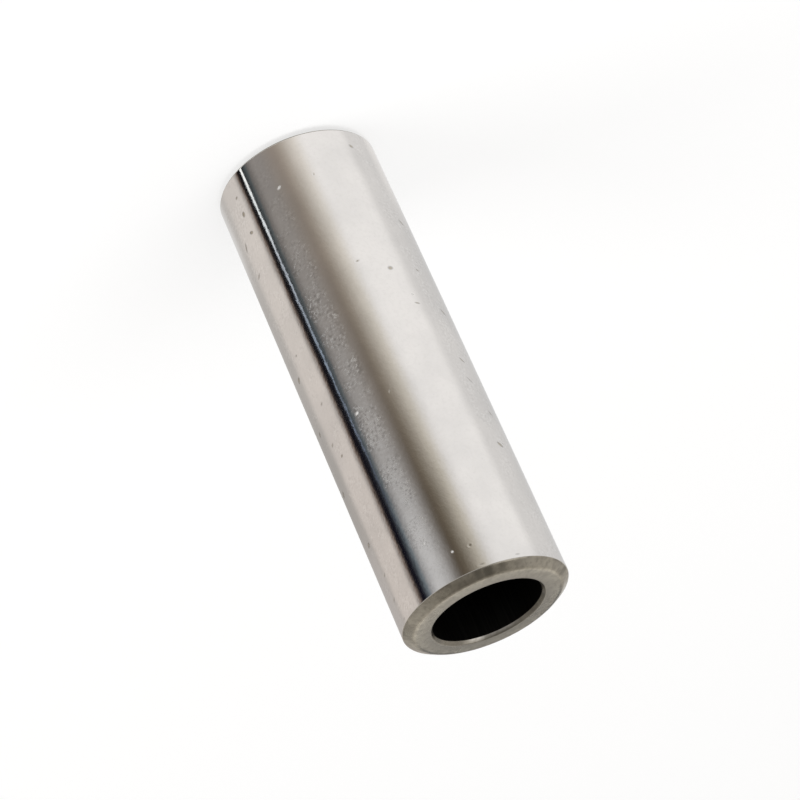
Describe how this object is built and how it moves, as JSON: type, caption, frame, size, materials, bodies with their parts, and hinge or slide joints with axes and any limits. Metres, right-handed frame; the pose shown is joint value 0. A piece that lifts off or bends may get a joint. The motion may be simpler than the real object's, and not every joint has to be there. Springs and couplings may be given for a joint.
{
  "type": "gudgeon pin",
  "caption": "Hollow ground-steel gudgeon pin with a straight through bore, flat ends and blended outer chamfers, to hinge a piston on its connecting rod.",
  "frame": {"origin": "centre of the lower end face, on the pin's axis", "axes": "+Z along the pin's axis, up from the lower end face to the upper one; X and Y are any two directions across it"},
  "size_m": [0.016, 0.016, 0.05],
  "materials": {
    "ground_steel": "ground and lapped outside, turned ends, dark heat-treated bore, a few handling nicks"
  },
  "bodies": {
    "root": {"gudgeon_pin": "ground_steel"}
  },
  "joints": []
}
